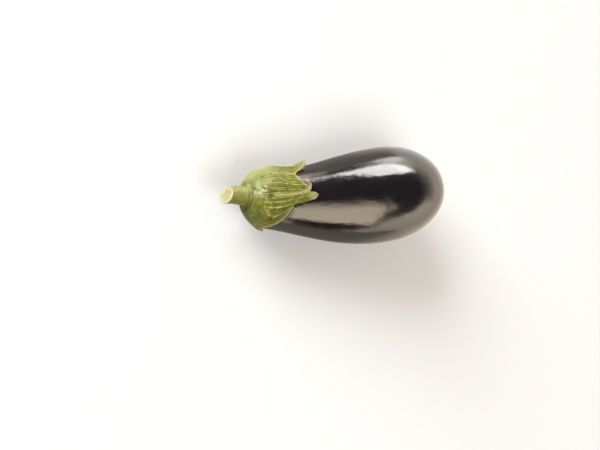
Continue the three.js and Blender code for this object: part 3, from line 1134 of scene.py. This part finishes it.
def floor_finish(colours):
    """Plain pale floor to look at. What it lights and what mirrors it finds it dim round the stalk."""
    floor = Finish("pale_floor", colours)
    across, aside, _ = floor.split()
    rays = floor.node("ShaderNodeLightPath").outputs
    seen = floor.blend(floor.remap(floor.noise(3, 2), 0, 1, 0, 0.03), floor.named("floor"), (1, 1, 1, 1))
    later = floor.times(floor.math("ABSOLUTE", aside, 0), FLOOR_NARROWING)
    bright = floor.remap(floor.math("SUBTRACT", across, later), *FLOOR_BRIGHT)
    warmth = floor.fade(aside, *FLOOR_WARM)
    lit = floor.blend(warmth, floor.named("floor_cool"), floor.named("floor_warm"))
    mirrored = floor.blend(bright, floor.named("floor_dim"), lit)
    away = floor.node("ShaderNodeVectorMath", {0: floor.place}, operation="LENGTH").outputs["Value"]
    return floor.finish(
        Base_Color=floor.blend(rays["Is Camera Ray"], mirrored, seen),
        Roughness=0.9,
        # Painted reflection: only where it is mirrored, the floor glows, warm towards -Y and cool towards
        # +Y, and brighter towards +X and further off
        Emission_Color=floor.blend(warmth, FLOOR_COOL_GLOW, FLOOR_WARM_GLOW),
        Emission_Strength=floor.times(rays["Is Glossy Ray"], bright, floor.remap(away, *FLOOR_GLOW)),
    )


# The stage


def hang_panel(name, middle, size, brightness, tint):
    """Hangs a soft square light that faces the fruit and that the camera doesn't see."""
    turn = Vector(middle).to_track_quat("Z", "Y").to_euler()
    bpy.ops.object.light_add(type="AREA", location=middle, rotation=turn)
    panel = bpy.context.object
    panel.name = panel.data.name = name
    panel.data.size = size
    panel.data.energy = brightness * pi * size**2
    panel.data.color = tint
    panel.visible_camera = False
    return panel


def hang_lights():
    """A soft key from beyond the stalk, and a weaker light from above that nothing mirrors."""
    hang_panel("key_light", *KEY_LIGHT)
    fill = hang_panel("fill_light", *FILL_LIGHT)
    fill.visible_glossy = False


def window_finish():
    """A white window with soft edges, a slanting upper left, a foot that rises, and a dim sill."""
    glass = Finish("window_light", None)
    across, _, up = glass.split()
    slanting = glass.fade(glass.math("SUBTRACT", up, glass.times(across, WINDOW_SLANT)), *WINDOW_SLANT_EDGE)
    foot = glass.times(glass.math("MAXIMUM", across, WINDOW_CORNER), WINDOW_FOOT_SLOPE)
    above_foot = glass.remap(glass.math("SUBTRACT", up, foot), *WINDOW_FOOT)
    height = glass.times(above_foot, glass.fade(up, *WINDOW_TOP))
    pane = glass.times(slanting, height, glass.band(across, *WINDOW_ACROSS), WINDOW_BRIGHTNESS)
    sill = glass.times(glass.band(across, *SILL_ACROSS), glass.band(up, *SILL_UP), SILL_BRIGHTNESS)
    light = {"Color": WHITE_TINT, "Strength": glass.math("MAXIMUM", pane, sill)}
    shaders = (
        glass.node("ShaderNodeEmission", light).outputs["Emission"],
        glass.node("ShaderNodeBsdfTransparent").outputs["BSDF"],
    )
    glass.feed(glass.tree.nodes["Material Output"].inputs["Surface"], glass.add_up(*shaders))
    return glass.material


def add_sheet(finish, size, location, rotation):
    """Adds a flat sheet with its place in its mesh, and names it after its finish."""
    bpy.ops.object.select_all(action="DESELECT")
    bpy.ops.mesh.primitive_plane_add(size=size, location=location, rotation=rotation)
    bpy.ops.object.transform_apply(location=True, rotation=True, scale=True)
    sheet = bpy.context.object
    sheet.name = sheet.data.name = finish.name
    sheet.data.materials.append(finish)
    return sheet


def lay_floor(colours):
    """A wide pale floor, a hair under the fruit."""
    floor = add_sheet(floor_finish(colours), FLOOR_SIZE, (0, 0, -FLOOR_DROP), (0, 0, 0))


def hang_window():
    """A window of light beside the fruit, which is seen only where something mirrors it."""
    window = add_sheet(window_finish(), WINDOW_SIZE, WINDOW_MIDDLE, (pi / 2, 0, 0))
    window.visible_camera = window.visible_diffuse = window.visible_shadow = False


def mirrored_lights(room, across, aside, up):
    """The soft lights of the room that the skin mirrors: their tints and their strengths by direction."""
    skirt = room.times(room.band(across, *SKIRT_ACROSS), room.band(aside, *SKIRT_ASIDE))
    corner = room.times(room.math("MAXIMUM", aside, WARM_CORNER), WARM_CORNER_SLOPE)
    inside = room.fade(room.math("ADD", across, corner), *WARM_CORNER_EDGE)
    warm = room.times(room.band(across, *WARM_ACROSS), room.band(aside, *WARM_ASIDE), inside)
    leaning = room.math("SUBTRACT", across, room.times(up, BEIGE_LEAN))
    beige = room.times(room.band(leaning, *BEIGE_ACROSS), room.band(up, *BEIGE_UP))
    beige = room.times(beige, room.band(aside, *BEIGE_ASIDE))
    glow = room.times(room.band(across, *GLOW_ACROSS), room.band(up, *GLOW_UP))
    glow = room.times(room.math("MAXIMUM", beige, glow), room.remap(up, *HORIZON))
    return (
        (WHITE_TINT, room.times(skirt, SKIRT_BRIGHTNESS)),
        (WARM_TINT, room.times(warm, WARM_BRIGHTNESS)),
        (BEIGE_TINT, room.times(glow, GLOW_BRIGHTNESS)),
        (WHITE_TINT, ROOM_DARK),
    )


def make_room():
    """A room that is pale to look at, and dark with a few soft lights where the skin mirrors it."""
    world = bpy.data.worlds.new("pale_room")
    world.use_nodes = True
    room = Nodes(world.node_tree, "Generated")
    across, aside, up = room.split()
    rays = room.node("ShaderNodeLightPath").outputs

    def background(tint, strength):
        inputs = {"Color": tint, "Strength": strength}
        return room.node("ShaderNodeBackground", inputs).outputs["Background"]

    mirrored = room.add_up(*(background(*light) for light in mirrored_lights(room, across, aside, up)))
    ambient = background(AMBIENT_TINT, room.remap(room.math("ADD", aside, across), -1, 1, *ROOM_AMBIENT))
    lit = room.choose(rays["Is Glossy Ray"], ambient, mirrored)
    seen = room.choose(rays["Is Camera Ray"], lit, background((1, 1, 1, 1), 1))
    room.feed(world.node_tree.nodes["World Output"].inputs["Surface"], seen)
    bpy.context.scene.world = world


def aim_camera():
    """Looks down on the stalk's side of the fruit, a little rolled, with the fruit right of the middle."""
    low, high = CAD_BOX
    middle = (Vector(low) + Vector(high)) / 2
    elevation, roll = radians(CAMERA_ELEVATION), radians(CAMERA_ROLL)
    to_fruit = Vector((cos(elevation), 0, -sin(elevation)))
    level_right = Vector((sin(elevation), 0, cos(elevation)))
    level_up = Vector((0, 1, 0))
    right = level_right * cos(roll) + level_up * sin(roll)
    up = level_up * cos(roll) - level_right * sin(roll)
    ahead = (CAMERA_DISTANCE * to_fruit - FRUIT_RIGHT * right - FRUIT_ABOVE * up).normalized()
    right = (right - right.dot(ahead) * ahead).normalized()
    turn = Matrix((right, right.cross(ahead), -ahead)).transposed().to_euler()
    bpy.ops.object.camera_add(location=middle - CAMERA_DISTANCE * to_fruit, rotation=turn)
    camera = bpy.context.object
    camera.data.lens = CAMERA_LENS
    bpy.context.scene.camera = camera


# The add-on


class EGGPLANT_OT_make_fruit(bpy.types.Operator):
    """Spin the fruit from its outline, bend it along its core and lay it on its flat spot"""

    bl_idname = "eggplant.make_fruit"
    bl_label = "Make Fruit"

    def execute(self, context):
        shape, colours = context.scene.eggplant_shape, context.scene.eggplant_colours
        fruit = spin_fruit(shape)
        dent_blossom_end(fruit, shape)
        roughen(fruit, "skin_waves", *SKIN_WAVES)
        bend_along_core(fruit, shape)
        lean_and_move(fruit, shape.rest_pitch, (0, 0, 0))
        shape.crown_at = find_crown(fruit)
        lean_and_move(fruit, 0, shape.crown_at)
        press_flat(fruit)
        hand_over(fruit, "eggplant_fruit", "fruit", skin_finish(colours))
        return {"FINISHED"}


class EGGPLANT_OT_make_calyx(bpy.types.Operator):
    """Lay the calyx over the fruit's crown with its stalk, bent and placed as the fruit is"""

    bl_idname = "eggplant.make_calyx"
    bl_label = "Make Calyx and Stalk"

    def execute(self, context):
        shape, colours = context.scene.eggplant_shape, context.scene.eggplant_colours
        calyx = weave_calyx(shape)
        roughen(calyx, "leaf_waves", *LEAF_WAVES)
        bend_along_core(calyx, shape)
        lean_and_move(calyx, shape.rest_pitch, shape.crown_at)
        hand_over(calyx, "eggplant_calyx_and_stalk", "calyx_and_stalk", calyx_finish(colours))
        return {"FINISHED"}


class EGGPLANT_OT_set_stage(bpy.types.Operator):
    """Lay a pale floor, hang soft light panels and aim the camera"""

    bl_idname = "eggplant.set_stage"
    bl_label = "Set Stage"

    def execute(self, context):
        lay_floor(context.scene.eggplant_colours)
        make_room()
        hang_lights()
        hang_window()
        aim_camera()
        context.scene.view_settings.view_transform = "Standard"
        return {"FINISHED"}


class EGGPLANT_PT_sidebar(bpy.types.Panel):
    """The eggplant's pieces, sizes and colours"""

    bl_idname = "EGGPLANT_PT_sidebar"
    bl_label = "Eggplant"
    bl_space_type = "VIEW_3D"
    bl_region_type = "UI"
    bl_category = "Eggplant"

    def draw(self, context):
        layout = self.layout
        for operator in OPERATORS:
            layout.operator(operator.bl_idname)
        for group in (context.scene.eggplant_shape, context.scene.eggplant_colours):
            box = layout.box()
            for name in group.__annotations__:
                box.prop(group, name)


OPERATORS = (EGGPLANT_OT_make_fruit, EGGPLANT_OT_make_calyx, EGGPLANT_OT_set_stage)
CLASSES = (EggplantShape, EggplantColours, *OPERATORS, EGGPLANT_PT_sidebar)


def register():
    for each in CLASSES:
        bpy.utils.register_class(each)
    bpy.types.Scene.eggplant_shape = PointerProperty(type=EggplantShape)
    bpy.types.Scene.eggplant_colours = PointerProperty(type=EggplantColours)


def unregister():
    del bpy.types.Scene.eggplant_colours
    del bpy.types.Scene.eggplant_shape
    for each in reversed(CLASSES):
        bpy.utils.unregister_class(each)


def main():
    """Makes the eggplant and its stage."""
    register()
    bpy.ops.eggplant.make_fruit()
    bpy.ops.eggplant.make_calyx()
    bpy.ops.eggplant.set_stage()


if __name__ == "__main__":
    main()
